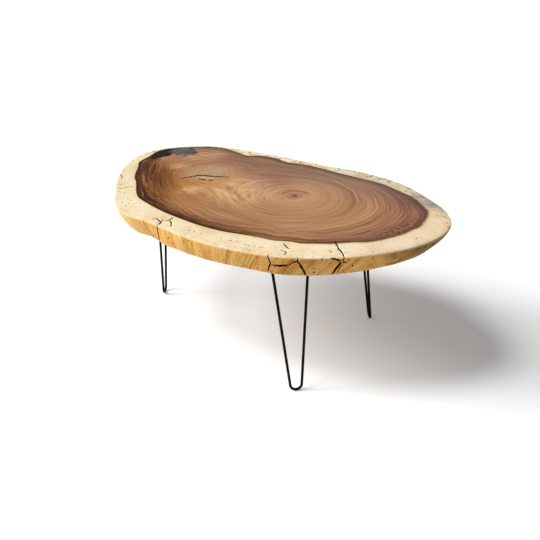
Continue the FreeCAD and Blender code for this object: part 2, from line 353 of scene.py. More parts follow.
def ring_scale(places, loop):
    """What turns the reach from pith and eye into the growth ring, which is 1 at the heartwood's edge."""
    middle = loop.mean(0)
    poles = middle + (loop[::POLE_STEP] - middle) * POLE_REACH

    def pull(spots):
        return np.log(np.linalg.norm(spots[:, None] - poles, axis=2))

    reach = np.zeros(len(loop))
    for pixel, share in ((PITH_PIXEL, PITH_SHARE), (EYE_PIXEL, EYE_SHARE)):
        reach += share * np.log(np.linalg.norm(loop - np.array(on_top(pixel).xy), axis=1))
    weights = np.linalg.lstsq(pull(loop), reach, rcond=None)[0]
    return np.exp(np.clip(-pull(places) @ weights, -RING_SCALE_LIMIT, RING_SCALE_LIMIT))


def make_object(name, points, faces):
    """A mesh object of these points and faces."""
    mesh = bpy.data.meshes.new(name)
    mesh.from_pydata([tuple(p) for p in points], [], faces)
    made = bpy.data.objects.new(name, mesh)
    bpy.context.scene.collection.objects.link(made)
    return made


def relief(point, along, upright):
    """Noise between 0 and 1 that changes at these paces along the rim and up the side."""
    return 0.5 + 0.5 * noise.noise(Vector((point.x * along, point.y * along, point.z * upright)))


def side_depth(point):
    """How far the live edge lies inside the sawn outline at a point of the slab's side."""
    share = (point.z - slab_low.z) / (slab_high.z - slab_low.z)
    calm = 1 - CALM_SHARE * share ** CALM_POWER
    return calm * (FLUTE_DEPTH * relief(point, *FLUTE_PACE) + RIPPLE_DEPTH * relief(point, *RIPPLE_PACE))


def cap(loop, spacing, level):
    """Triangles over a closed loop: the points inside it, and the faces, numbered from the loop on."""
    low, high = loop.min(0), loop.max(0)
    spots = []
    for k, y in enumerate(np.arange(low[1], high[1], spacing * math.sqrt(3) / 2)):
        xs = np.arange(low[0] + (k % 2) * spacing / 2, high[0], spacing)
        spots.append(np.stack([xs, np.full_like(xs, y)], 1))
    spots = np.concatenate(spots)
    spots = spots[signed_depth(spots, loop) > CAP_CLEARANCE * spacing]
    points = [Vector(p) for p in np.vstack([loop, spots])]
    count = len(loop)
    edges = [(k, (k + 1) % count) for k in range(count)]
    inside_only = 1
    tolerance = 1e-7
    faces = delaunay_2d_cdt(points, edges, [], inside_only, tolerance)[2]
    inside = np.hstack([spots, np.full((len(spots), 1), level)])
    return inside, [tuple(f) for f in faces]


def make_slab_skin():
    """The slab as a closed mesh, with its sawn faces and its live edge, and the rim of its top."""
    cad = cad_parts["slab"].data
    tree = BVHTree.FromPolygons([v.co for v in cad.vertices], [p.vertices for p in cad.polygons])
    thickness = slab_high.z - slab_low.z
    side = np.linspace(SIDE_START, thickness - SIDE_START, SIDE_ROWS)
    offsets = [*EASE_ROWS, *side, *(thickness - e for e in reversed(EASE_ROWS))]
    points = []
    for offset in offsets:
        height = Vector((0, 0, slab_low.z + offset))
        for turn in np.linspace(0, 2 * math.pi, COLUMNS, endpoint=False):
            out = Vector((slab_half.x * math.cos(turn), slab_half.y * math.sin(turn), 0)).normalized()
            hit = tree.ray_cast(height + out * 2 * slab_half.x, -out)[0]
            points.append(hit - out * side_depth(hit))
    points = np.array(points)
    last = len(offsets) - 1
    faces = []
    for row in range(last):
        lower, upper = row * COLUMNS, (row + 1) * COLUMNS
        for column in range(COLUMNS):
            beside = (column + 1) % COLUMNS
            faces.append((lower + column, lower + beside, upper + beside, upper + column))
    top_rim = points[last * COLUMNS:, :2]
    bottom_rim = points[:COLUMNS, :2]
    for rim, first, spacing, level, step in ((top_rim, last * COLUMNS, TOP_SPACING, slab_high.z, 1),
                                             (bottom_rim, 0, BOTTOM_SPACING, slab_low.z, -1)):
        inside, triangles = cap(rim, spacing, level)
        start = len(points) - COLUMNS
        for triangle in triangles:
            faces.append(tuple(k + (first if k < COLUMNS else start) for k in triangle)[::step])
        points = np.vstack([points, inside])
    return make_object("slab_wood_slice", points, faces), top_rim


def crack_line(pixels, draws):
    """A jagged line of pixels, with a point about every pixel, that runs through the given ones."""
    line = []
    for start, end in zip(pixels, pixels[1:]):
        run = Vector(end) - Vector(start)
        steps = max(1, round(run.length / CRACK_STEP_PIXELS))
        for k in range(steps):
            jag = Vector(draws.uniform(-1, 1, 2)) * CRACK_JITTER_PIXELS
            line.append(Vector(start) + run * (k / steps) + jag)
    return line + [Vector(pixels[-1])]


def crack_cutter(surface, width, depth, pixels, draws):
    """Points and faces of a closed sliver, sharp below, that cuts one crack into the slab."""
    hits = [surface.ray_cast(*sight_line(p)) for p in crack_line(pixels, draws)]
    hits = [(place, normal) for place, normal, _, _ in hits if place]
    places = [place for place, _ in hits]
    count = len(places)
    points, faces = [], []
    for k, (place, normal) in enumerate(hits):
        along = (places[min(k + 1, count - 1)] - places[max(k - 1, 0)]).normalized()
        across = along.cross(normal).normalized()
        opening = math.sin(math.pi * (k + 0.5) / count) ** CRACK_BLUNTNESS
        swell = (CRACK_TIP_SHARE + (1 - CRACK_TIP_SHARE) * opening) * draws.uniform(*CRACK_UNEVENNESS)
        half = across * width / 2 * swell
        lift = normal * CUTTER_LIFT
        tip = place - normal * depth * swell
        points += [place + lift * 2, place + lift + half, tip, place + lift - half]
    corners = 4
    last = corners * (count - 1)
    for first in range(0, last, corners):
        for corner in range(corners):
            one, other = first + corner, first + (corner + 1) % corners
            faces.append((one, other, other + corners, one + corners))
    faces.append(tuple(reversed(range(corners))))
    faces.append(tuple(range(last, last + corners)))
    return points, faces


def make_resin_cutter():
    """The resin's own shape, raised above the slab's top."""
    cutter = bpy.data.objects.new("resin_void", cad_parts["resin_fill"].data.copy())
    cutter.data.materials.clear()
    bpy.context.scene.collection.objects.link(cutter)
    shape = bmesh.new()
    shape.from_mesh(cutter.data)
    bmesh.ops.remove_doubles(shape, verts=shape.verts, dist=MERGE_GAP)
    for vertex in shape.verts:
        if vertex.co.z > slab_high.z - CUTTER_LIFT:
            vertex.co.z += RESIN_CUTTER_LIFT
    shape.to_mesh(cutter.data)
    shape.free()
    return cutter


def cut(slab, cutter):
    """Cuts one mesh out of the slab and removes the cutter."""
    bpy.context.view_layer.objects.active = slab
    change = slab.modifiers.new("cut", "BOOLEAN")
    change.operation = "DIFFERENCE"
    change.solver = "MANIFOLD"
    change.object = cutter
    bpy.ops.object.modifier_apply(modifier=change.name)
    bpy.data.objects.remove(cutter)


def make_cracks(slab):
    """Cuts cracks, specks and the resin's void into the slab. Faces in them take its second material,
    painted dark as shade.
    """
    skin = slab.data
    surface = BVHTree.FromPolygons([v.co for v in skin.vertices], [p.vertices for p in skin.polygons])
    draws = np.random.default_rng(CRACK_SEED)
    half_x, half_y = SPECK_HALF_PIXELS
    specks = [(width, SPECK_DEPTH, ((x - half_x, y - half_y), (x + half_x, y + half_y)))
              for x, y, width in SPECKS]
    points, faces = [], []
    for width, depth, pixels in (*CRACKS, *specks):
        more, sides = crack_cutter(surface, width, depth, pixels, draws)
        faces += [tuple(k + len(points) for k in side) for side in sides]
        points += more
    cut(slab, make_object("crack_slivers", points, faces))
    cut(slab, make_resin_cutter())
    slab.data.materials.clear()
    slab.data.materials.append(make_wood())
    slab.data.materials.append(make_crack_inside_shade())
    for face in slab.data.polygons:
        _, _, _, depth = surface.find_nearest(face.center)
        face.material_index = 1 if depth > CRACK_LIP else 0


def measure_slab(slab, top_rim):
    """Stores at each point of the slab what the colours of its wood go by."""
    points = np.array([v.co for v in slab.data.vertices])
    places, levels = points[:, :2], points[:, 2]
    heart_loop = smooth_loop([on_top(p).xy for p in HEARTWOOD_EDGE_PIXELS], HEART_STEPS)
    sawn_top = levels > slab_high.z - EASE_ROWS[2]
    rim_depth = np.zeros(len(points))
    rim_depth[sawn_top] = signed_depth(places[sawn_top], top_rim)
    from_face = np.minimum(slab_high.z - levels, levels - slab_low.z)
    measures = {
        "heart_depth": signed_depth(places, heart_loop) - HEART_TAPER * (slab_high.z - levels),
        "ring_scale": ring_scale(places, heart_loop),
        "rim_depth": rim_depth,
        "live_side": np.clip((from_face - EASE_ROWS[1]) / (EASE_ROWS[3] - EASE_ROWS[1]), 0, 1),
    }
    for name, values in measures.items():
        attribute = slab.data.attributes.new(name, "FLOAT", "POINT")
        attribute.data.foreach_set("value", values.astype(np.float32))


class Nodes:
    """Short ways to add shader nodes to one tree."""

    def __init__(self, tree):
        self.tree = tree

    def feed(self, socket, value):
        """Links an output to a socket, or sets the socket's own value."""
        if isinstance(value, bpy.types.NodeSocket):
            self.tree.links.new(value, socket)
        else:
            socket.default_value = value

    def add(self, kind, inputs=None, **settings):
        """A new node with these inputs and settings."""
        made = self.tree.nodes.new(kind if kind.startswith("NodeGroup") else "ShaderNode" + kind)
        for name, value in settings.items():
            setattr(made, name, value)
        for socket, value in (inputs or {}).items():
            self.feed(made.inputs[socket], value)
        return made

    def math(self, operation, first, second=0.0):
        """One operation on numbers."""
        return self.add("Math", {0: first, 1: second}, operation=operation).outputs[0]

    def times(self, first, *factors):
        """The product of numbers."""
        for factor in factors:
            first = self.math("MULTIPLY", first, factor)
        return first

    def plus(self, first, *factors):
        """The first number plus the product of the others."""
        return self.math("ADD", first, self.times(*factors))

    def rest(self, share):
        """What a share leaves of 1."""
        return self.math("SUBTRACT", 1.0, share)

    def vector(self, operation, first, second=(0, 0, 0)):
        """One operation on vectors."""
        made = self.add("VectorMath", {0: first, 1: second}, operation=operation)
        return made.outputs["Value" if operation == "LENGTH" else "Vector"]

    def scaled(self, vector, scale):
        """A vector times a number."""
        return self.add("VectorMath", {0: vector, "Scale": scale}, operation="SCALE").outputs["Vector"]

    def turned(self, vector, angle, centre=(0, 0, 0)):
        """A vector turned about the upright line through a centre."""
        inputs = {"Vector": vector, "Center": centre, "Angle": angle}
        return self.add("VectorRotate", inputs, rotation_type="Z_AXIS").outputs[0]

    def split(self, vector):
        """The X, Y and Z of a vector."""
        return tuple(self.add("SeparateXYZ", {0: vector}).outputs)

    def combine(self, x, y, z):
        """A vector from its X, Y and Z."""
        return self.add("CombineXYZ", {0: x, 1: y, 2: z}).outputs[0]

    def attribute(self, name):
        """What measure_slab stored under a name."""
        return self.add("Attribute", attribute_name=name).outputs["Fac"]

    def noise(self, place, scale, detail=2.0, roughness=0.5, output="Fac"):
        """Soft noise, about 0.5 on average."""
        inputs = {"Vector": place, "Scale": scale, "Detail": detail, "Roughness": roughness}
        return self.add("TexNoise", inputs).outputs[output]

    def swing(self, place, scale, detail=2.0, roughness=0.5):
        """Soft noise, about 0 on average."""
        return self.math("SUBTRACT", self.noise(place, scale, detail, roughness), 0.5)

    def fade(self, value, low, high, start=0.0, end=1.0):
        """From start to end as the value goes from low to high, with soft ends."""
        inputs = {"Value": value, "From Min": low, "From Max": high, "To Min": start, "To Max": end}
        return self.add("MapRange", inputs, interpolation_type="SMOOTHSTEP").outputs["Result"]

    def fall(self, value, low, high, start=1.0):
        """From start to nothing as the value goes from low to high, with soft ends."""
        return self.fade(value, low, high, start, 0.0)

    def ramp(self, value, stops):
        """The colour that a ramp has at a value."""
        made = self.add("ValToRGB", {0: value})
        elements = made.color_ramp.elements
        while len(elements) < len(stops):
            elements.new(0.5)
        for element, (place, colour) in zip(elements, stops):
            element.position = place
            element.color = (*colour, 1)
        return made.outputs["Color"]

    def mix(self, share, first, second, blend="MIX"):
        """The first colour with a share of the second one over it."""
        over = second if isinstance(second, bpy.types.NodeSocket) else (*second, 1)
        under_socket, over_socket, result_socket = 6, 7, 2
        inputs = {"Factor": share, under_socket: first, over_socket: over}
        return self.add("Mix", inputs, data_type="RGBA", blend_type=blend).outputs[result_socket]

    def tint(self, share, colour, factors):
        """A colour, multiplied by these factors as far as the share says."""
        return self.mix(share, colour, factors, "MULTIPLY")


def new_material(name):
    """A material, the ways to add to its nodes, its Principled shader, and places on the object."""
    material = bpy.data.materials.new(name)
    material.use_nodes = True
    nodes = Nodes(material.node_tree)
    place = nodes.add("TexCoord").outputs["Object"]
    return material, nodes, material.node_tree.nodes["Principled BSDF"], place


def make_rubbed_group():
    """Shared by all finishes but bare wood: uneven gloss and the fine unevenness of a coat."""
    group = bpy.data.node_groups.new("rubbed_coat", "ShaderNodeTree")
    for name, kind in (("Place", "NodeSocketVector"), ("Grain Size", "NodeSocketFloat"),
                       ("Gloss Low", "NodeSocketFloat"), ("Gloss High", "NodeSocketFloat")):
        group.interface.new_socket(name, in_out="INPUT", socket_type=kind)
    for name in ("Roughness", "Height"):
        group.interface.new_socket(name, in_out="OUTPUT", socket_type="NodeSocketFloat")
    nodes = Nodes(group)
    given = nodes.add("NodeGroupInput")
    result = nodes.add("NodeGroupOutput")
    scale = nodes.math("DIVIDE", 1.0, given.outputs["Grain Size"])
    broad = nodes.noise(given.outputs["Place"], nodes.times(scale, COAT_BROAD_SCALE), detail=3)
    fine = nodes.noise(given.outputs["Place"], scale, detail=3, roughness=0.6)
    share = nodes.plus(nodes.times(broad, COAT_BROAD_SHARE), fine, 1 - COAT_BROAD_SHARE)
    inputs = {"Value": share, "From Min": COAT_RANGE[0], "From Max": COAT_RANGE[1],
              "To Min": given.outputs["Gloss Low"], "To Max": given.outputs["Gloss High"]}
    nodes.feed(result.inputs["Roughness"], nodes.add("MapRange", inputs).outputs["Result"])
    nodes.feed(result.inputs["Height"], fine)
    return group


def rub(nodes, shader, place, grain, gloss, depth):
    """Gives a finish its uneven gloss and fine unevenness. Returns the normal."""
    coat = nodes.add("Group", node_tree=rubbed_coat)
    for name, value in zip(("Place", "Grain Size", "Gloss Low", "Gloss High"), (place, grain, *gloss)):
        nodes.feed(coat.inputs[name], value)
    nodes.feed(shader.inputs["Roughness"], coat.outputs["Roughness"])
    bump = nodes.add("Bump", {"Height": coat.outputs["Height"], "Strength": COAT_BUMP, "Distance": depth})
    nodes.feed(shader.inputs["Normal"], bump.outputs["Normal"])
    return bump.outputs["Normal"]


# In the materials, places and distances are in metres, and scales of noise go by the metre.


def way_from(nodes, pixel, place):
    """The way from the point that a pixel shows to a place, with X along the eye's crack."""
    return nodes.turned(nodes.vector("SUBTRACT", place, on_top(pixel)), -CAMERA_TURN)


def distance_to(nodes, place, pixel, stretch=(1, 1)):
    """How far a place lies from the point that a pixel shows, seen from above."""
    return nodes.vector("LENGTH", nodes.vector("MULTIPLY", way_from(nodes, pixel, place), (*stretch, 0)))


def ring_place(nodes, place):
    """Which growth ring a place lies on: 0 at the pith and the eye, 1 at the heartwood's edge."""
    x, _, _ = nodes.split(place)
    moved = place
    for scale, detail, reach in ((4, 2, 0.03),
                                 (17, 2, nodes.fade(x, -0.3, 0.1, 0.014, 0.005)),
                                 (34, 1, nodes.fade(x, -0.4, 0.0, 0.012, 0.001))):
        sway = nodes.vector("SUBTRACT", nodes.noise(place, scale, detail, output="Color"), (0.5, 0.5, 0.5))
        moved = nodes.vector("ADD", moved, nodes.scaled(sway, reach))
    swirl = nodes.fall(distance_to(nodes, place, KNOT_PIXEL), 0.0, 0.075, start=1.3)
    moved = nodes.turned(moved, swirl, on_top(KNOT_PIXEL))
    ring = nodes.attribute("ring_scale")
    for pixel, share in ((PITH_PIXEL, PITH_SHARE), (EYE_PIXEL, EYE_SHARE)):
        way = nodes.vector("MULTIPLY", nodes.vector("SUBTRACT", moved, on_top(pixel)), (1, 1, 0))
        ring = nodes.times(ring, nodes.math("POWER", nodes.vector("LENGTH", way), share))
    return nodes.math("POWER", ring, RING_GROWTH)


def ring_lines(nodes, ring, place, count, drift, detail):
    """Lighter and darker lines, about 0, that run with the growth rings, so many from pith to edge."""
    x, y, _ = nodes.split(nodes.scaled(place, drift))
    return nodes.swing(nodes.combine(nodes.times(ring, count), x, y), 1.0, detail, roughness=0.55)


def pith_tone(nodes, place):
    """The pith: a dark spot, a dark arc behind it, a fainter one at its left and a pale arc in front."""
    along, beyond, _ = nodes.split(way_from(nodes, PITH_PIXEL, place))
    reach = nodes.plus(distance_to(nodes, place, PITH_PIXEL), nodes.swing(place, 55), 0.016)

    def arc(inner, outer, strength):
        middle = (inner + outer) / 2
        return nodes.times(nodes.fade(reach, inner, middle), nodes.fall(reach, middle, outer), strength)

    upper_left = nodes.times(nodes.fade(beyond, 0.0, 0.03, 0, -0.1), nodes.fall(along, -0.01, 0.03))
    tone = nodes.plus(nodes.fall(reach, 0.004, 0.012, -0.2), nodes.fall(reach, 0.014, 0.034, -0.07))
    tone = nodes.plus(tone, arc(0.028, 0.049, nodes.fade(beyond, 0.0, 0.03, 0, -0.19)))
    tone = nodes.plus(tone, arc(0.022, 0.044, nodes.fall(beyond, -0.03, 0.0, 0.07)))
    return nodes.plus(tone, arc(0.048, 0.064, upper_left))


def heart_parts(nodes, place):
    """Where on the heartwood a place lies: X, Y, and masks for its ends, front, back, gold with its painted
    sheen, and smoke.
    """
    x, y, _ = nodes.split(place)
    gold_and_sheen = nodes.fall(distance_to(nodes, place, FAN_PIXEL), 0.02, 0.16, start=0.8)
    for *pixel, reach in FLAMES:
        flame = nodes.fall(distance_to(nodes, place, pixel, FLAME_STRETCH), 0.0, reach, start=0.9)
        gold_and_sheen = nodes.math("MAXIMUM", gold_and_sheen, flame)
    return SimpleNamespace(
        x=x,
        y=y,
        left=nodes.times(nodes.fall(x, -0.39, -0.14), nodes.fall(y, 0.03, 0.13)),
        front=nodes.fall(y, -0.2, -0.06),
        right=nodes.fade(x, 0.2, 0.44),
        back=nodes.fade(y, 0.06, 0.24),
        gold_and_sheen=gold_and_sheen,
        smoke=nodes.fall(distance_to(nodes, place, SMOKE_PIXEL), 0.02, 0.1),
    )


def heart_tone(nodes, place, heart, ring, parts):
    """How light the heartwood is: fine rings, dashes in the gold, a striped dark edge, and the pith."""
    # The golden figure, lightened partly as painted sheen.
    tone = nodes.plus(nodes.fade(parts.x, -0.1, 0.25, 0.605, 0.645), parts.gold_and_sheen, 0.19)
    calm = nodes.fade(ring, 0.1, 0.55, 0.22, 1)
    for count, drift, detail, share in RING_LINES:
        tone = nodes.plus(tone, ring_lines(nodes, ring, place, count, drift, detail), share, calm)
    growth = nodes.math("ABSOLUTE", ring_lines(nodes, ring, place, *GROWTH_LINES))
    clearer_right = nodes.fade(parts.x, -0.2, 0.15, 0.4, 1)
    tone = nodes.plus(tone, nodes.fall(growth, 0.0, 0.05, -0.11), calm, clearer_right)
    tone = nodes.plus(tone, ring_lines(nodes, ring, place, *GOLDEN_DASHES), parts.gold_and_sheen, 0.95)
    inward = nodes.times(nodes.plus(heart, nodes.swing(place, 26, detail=3), 0.03), EDGE_STRIPES)
    along = nodes.vector("ADD", nodes.scaled(place, EDGE_STRIPE_DRIFT), nodes.combine(0.0, 0.0, inward))
    stripes = nodes.swing(along, 1.0, detail=4, roughness=0.6)
    front_edge = nodes.fade(parts.x, 0.06, 0.22, -0.26, -0.12)
    tone = nodes.plus(tone, stripes, parts.left, nodes.fall(heart, 0.02, 0.13), 1.5)
    tone = nodes.plus(tone, parts.left, nodes.fall(heart, 0.03, 0.18), -0.34)
    tone = nodes.plus(tone, stripes, parts.front, nodes.fall(heart, 0.04, 0.18), 0.8)
    tone = nodes.plus(tone, parts.front, nodes.fall(heart, 0.005, 0.085), front_edge)
    tone = nodes.plus(tone, parts.right, nodes.fall(heart, 0.0, 0.14), -0.16)
    tone = nodes.plus(tone, parts.back, -0.07)
    tone = nodes.plus(tone, parts.smoke, -0.06)
    tone = nodes.plus(tone, nodes.fade(ring, 0.2, 0.6, 0.045, -0.015))
    return nodes.plus(tone, pith_tone(nodes, place))


def heart_edge(nodes, place, heart, parts, colour):
    """The heartwood's dark edge: crisp at the left and front, soft at the back and right, with a painted
    shadow beside the resin's left tip.
    """
    reach = nodes.plus(heart, nodes.swing(place, 30, detail=4, roughness=0.65), 0.03)
    broken = nodes.fall(distance_to(nodes, place, CRACKLE_PIXEL, CRACKLE_STRETCH), 0.03, 0.09)
    broken = nodes.times(broken, nodes.fall(heart, 0.03, 0.06))
    unbroken = nodes.rest(nodes.times(broken, 0.6))
    soft_right = nodes.times(nodes.fall(reach, 0.0, 0.034, 0.9), parts.right, unbroken)
    colour = nodes.mix(soft_right, colour, RIGHT_EDGE_COLOUR)
    soft_back = nodes.times(nodes.fall(reach, 0.0, 0.04, 0.8), parts.back)
    colour = nodes.mix(soft_back, colour, BACK_EDGE_COLOUR)
    flecks = nodes.fade(nodes.noise(place, 85, detail=4, roughness=0.7), 0.46, 0.56, end=0.75)
    colour = nodes.mix(nodes.times(broken, flecks), colour, CRACKLE_COLOUR)
    # Painted shadow: a dark spot at the heartwood's edge beside the resin's left tip.
    painted_shadow = nodes.fall(distance_to(nodes, place, SHADOW_SPOT_PIXEL), 0.012, 0.045, 0.85)
    colour = nodes.mix(painted_shadow, colour, SHADOW_SPOT_COLOUR)
    softness = nodes.math("MAXIMUM", nodes.times(parts.right, 0.8), nodes.times(parts.back, 0.7))
    softness = nodes.math("MAXIMUM", softness, nodes.fade(parts.x, -0.02, 0.2, end=0.6))
    width = nodes.fade(parts.x, 0.06, 0.2, 0.02, 0.011)
    crisp = nodes.times(nodes.fall(reach, 0.004, width, 0.95), nodes.rest(softness))
    return nodes.mix(crisp, colour, CRISP_EDGE_COLOUR)


def heart_colour(nodes, place, heart, ring):
    """Brown heartwood: orange at the left, greyer at the back as painted reflection, mauve at the right,
    pale round the eye.
    """
    parts = heart_parts(nodes, place)
    colour = nodes.ramp(heart_tone(nodes, place, heart, ring, parts), HEART_RAMP)
    beside_gold = nodes.fade(parts.gold_and_sheen, 0.0, 1.0, 1, 0.4)
    ruddy = nodes.times(nodes.fall(parts.x, -0.4, 0.0), nodes.fade(parts.y, -0.04, 0.12, 1, 0.3))
    colour = nodes.tint(nodes.times(ruddy, beside_gold), colour, ORANGE_TINT)
    # Painted reflection: greyer and bluer towards the back; also greyer round the smoky patch.
    sheen_and_smoke = nodes.math("MAXIMUM", nodes.times(parts.back, 0.9), nodes.times(parts.smoke, 0.6))
    colour = nodes.tint(nodes.times(sheen_and_smoke, beside_gold), colour, SHEEN_GREY_TINT)
    core = nodes.fall(distance_to(nodes, place, PITH_PIXEL), 0.014, 0.036, 0.8)
    right_edge = nodes.times(parts.right, nodes.fall(heart, 0.02, 0.13))
    colour = nodes.tint(nodes.math("MAXIMUM", right_edge, core), colour, MAUVE_TINT)
    halo = nodes.fall(distance_to(nodes, place, EYE_PIXEL, HALO_STRETCH), 0.025, 0.105, 0.65)
    cloudy = nodes.fade(nodes.noise(place, 36, detail=4, roughness=0.6), 0.3, 0.65, 0.35, 1)
    colour = nodes.mix(nodes.times(halo, cloudy), colour, EYE_HALO_COLOUR)
    for pixel in EYELID_PIXELS:
        lid = nodes.fall(distance_to(nodes, place, pixel, EYELID_STRETCH), 0.0022, 0.0048, 0.8)
        colour = nodes.mix(lid, colour, EYELID_COLOUR)
    return heart_edge(nodes, place, heart, parts, colour)


def sap_colour(nodes, place, heart):
    """Pale sapwood: cream with faint rings, hairline checks from the rim and a grey weathered stretch."""
    rim = nodes.attribute("rim_depth")
    x, y, _ = nodes.split(place)
    colour = nodes.ramp(nodes.noise(place, 11, detail=4, roughness=0.6), SAP_RAMP)
    across = nodes.plus(nodes.times(nodes.noise(place, 20), SAP_RING_DRIFT), heart, SAP_RINGS)
    faint = nodes.noise(nodes.combine(across, 0.0, 0.0), 1.0)
    colour = nodes.mix(nodes.fade(faint, 0.46, 0.7, end=0.3), colour, SAP_RING_COLOUR)
    mottle = nodes.noise(place, 95, detail=4, roughness=0.7)
    colour = nodes.mix(nodes.fade(mottle, 0.5, 0.66, end=0.24), colour, SAP_MOTTLE_COLOUR)
    colour = nodes.mix(nodes.fade(heart, -0.016, -0.001, end=0.4), colour, BESIDE_HEART_COLOUR)
    turn = nodes.math("ARCTAN2", nodes.times(y, CHECK_OVAL), x)
    radial = nodes.combine(nodes.times(turn, CHECKS), nodes.times(rim, CHECK_DRIFT), 0.0)
    check = nodes.math("ABSOLUTE", nodes.swing(radial, 1.0, detail=3, roughness=0.6))
    seldom = nodes.fade(nodes.noise(place, 17), 0.52, 0.64, end=0.5)
    colour = nodes.mix(nodes.times(nodes.fall(check, 0.004, 0.02), seldom), colour, CHECK_COLOUR)
    # Painted shade: darker and greyer towards the back right.
    painted_shade_back = nodes.times(nodes.fade(x, -0.1, 0.25), nodes.fade(y, 0.08, 0.24))
    colour = nodes.tint(painted_shade_back, colour, BACK_SHADE_TINT)
    # Painted shade: darker and pinker towards the right end.
    colour = nodes.tint(nodes.fade(x, 0.34, 0.5, end=0.9), colour, ROSY_SHADE_TINT)
    weathered = nodes.fall(distance_to(nodes, place, WEATHERED_PIXEL), 0.035, 0.09, 0.95)
    patchy = nodes.fade(nodes.noise(nodes.scaled(radial, 0.5), 1.0, detail=4, roughness=0.7), 0.36, 0.54)
    weathered = nodes.times(weathered, nodes.fall(rim, 0.022, 0.046), patchy)
    colour = nodes.mix(weathered, colour, WEATHERED_COLOUR)
    ragged = nodes.fade(nodes.noise(place, 55, detail=4, roughness=0.7), 0.5, 0.6)
    width = nodes.fade(y, 0.05, 0.24, 0.022, 0.05)
    worn = nodes.times(nodes.fall(rim, 0.002, width), ragged, nodes.fade(y, -0.05, 0.22, 0.3, 0.95))
    return nodes.mix(worn, colour, WORN_COLOUR)


def side_grain(nodes, place):
    """Fine and broad streaks that run up and down the live edge, and lean over towards its right end."""
    x, _, z = nodes.split(place)
    lean = nodes.fade(x, -0.1, 0.4, 0.1, 0.75)
    level = nodes.math("SUBTRACT", z, slab_high.z)
    outward = nodes.vector("MULTIPLY", place, (1, slab_half.x / slab_half.y, 0))
    turn = nodes.times(lean, level, -1 / slab_half.x)
    leaning = nodes.turned(nodes.vector("NORMALIZE", outward), turn)
    upright = nodes.combine(0.0, 0.0, nodes.times(level, STREAK_DRIFT))
    along = nodes.vector("ADD", nodes.scaled(leaning, slab_half.x), upright)
    streak = nodes.noise(along, FINE_STREAKS, detail=4, roughness=0.7)
    broad = nodes.noise(along, BROAD_STREAKS, detail=3, roughness=0.6)
    return streak, broad


def side_colour(nodes, place, streak, broad):
    """The live edge: honey to orange brown, paler at the left as painted light, paler along the top, and
    darker at the right as painted shade.
    """
    x, y, z = nodes.split(place)
    # Painted light: paler towards the left end, most at its front.
    pale = nodes.times(nodes.fall(x, -0.4, -0.14), nodes.fade(y, -0.16, 0.02, 1, 0.15))
    tone = nodes.plus(nodes.times(streak, 0.6), broad, 0.4)
    colour = nodes.ramp(nodes.plus(tone, pale, 0.13), SIDE_RAMP)
    hue = nodes.fade(nodes.noise(place, 13, detail=3), 0.38, 0.62)
    colour = nodes.mix(hue, nodes.tint(1.0, colour, WARM_TINT), nodes.tint(1.0, colour, OLIVE_TINT))
    blotch = nodes.noise(nodes.vector("MULTIPLY", place, (1, 1, 0.5)), 30, detail=4, roughness=0.6)
    blotch = nodes.times(nodes.fade(blotch, 0.52, 0.68), nodes.fade(x, 0.1, 0.5), 0.55)
    colour = nodes.mix(blotch, colour, BLOTCH_COLOUR)
    pits = nodes.noise(nodes.vector("MULTIPLY", place, (1, 1, 0.55)), 85, detail=2, roughness=0.6)
    pitted = nodes.times(nodes.fade(x, -0.3, 0.3, 0.2, 0.65), nodes.fade(y, -0.05, 0.12, 1, 0.4))
    colour = nodes.mix(nodes.times(nodes.fade(pits, 0.63, 0.71), pitted), colour, PIT_COLOUR)
    # Painted shade: the right half dimmer, and the right end much darker.
    colour = nodes.tint(nodes.fade(x, 0.1, 0.4), colour, SIDE_SHADE_TINT)
    colour = nodes.tint(nodes.fade(x, 0.46, 0.54), colour, RIGHT_END_SHADE_TINT)
    # Painted light: the left end mixed towards a pale colour.
    colour = nodes.mix(nodes.times(pale, 0.4), colour, PAINTED_LIGHT_SIDE_COLOUR)
    arris = nodes.fade(z, slab_high.z - 0.008, slab_high.z - 0.0015, end=0.55)
    return nodes.mix(arris, colour, ARRIS_COLOUR)


def make_wood():
    """The slab's wood under a satin clear coat."""
    material, nodes, shader, place = new_material("slab_wood")
    heart = nodes.attribute("heart_depth")
    side = nodes.attribute("live_side")
    x, _, _ = nodes.split(place)
    fray = nodes.fade(x, 0.2, 0.42, 0.0013, 0.006)
    frayed = nodes.plus(heart, nodes.swing(place, 90, detail=4, roughness=0.7), fray, 1.8)
    is_heart = nodes.fade(frayed, nodes.times(fray, -1.0), fray)
    heartwood = heart_colour(nodes, place, heart, ring_place(nodes, place))
    top = nodes.mix(is_heart, sap_colour(nodes, place, heart), heartwood)
    streak, broad = side_grain(nodes, place)
    colour = nodes.mix(side, top, side_colour(nodes, place, streak, broad))
    nodes.feed(shader.inputs["Base Color"], colour)
    nodes.feed(shader.inputs["Specular IOR Level"], WOOD_SPECULAR)
    normal = rub(nodes, shader, place, grain=0.0012, gloss=(0.48, 0.66), depth=0.0001)
    inputs = {"Height": nodes.times(streak, side), "Strength": STREAK_BUMP, "Distance": STREAK_RELIEF}
    bump = nodes.add("Bump", {**inputs, "Normal": normal})
    nodes.feed(shader.inputs["Normal"], bump.outputs["Normal"])
    return material


def make_crack_inside_shade():
    """The inside of a crack, painted dark as shade."""
    material, nodes, shader, place = new_material("crack_inside_shade")
    tone = nodes.noise(place, 250, detail=3, roughness=0.6)
    nodes.feed(shader.inputs["Base Color"], nodes.ramp(tone, CRACK_SHADE_RAMP))
    nodes.feed(shader.inputs["Roughness"], BARE_ROUGHNESS)
    nodes.feed(shader.inputs["Specular IOR Level"], WOOD_SPECULAR)
    return material


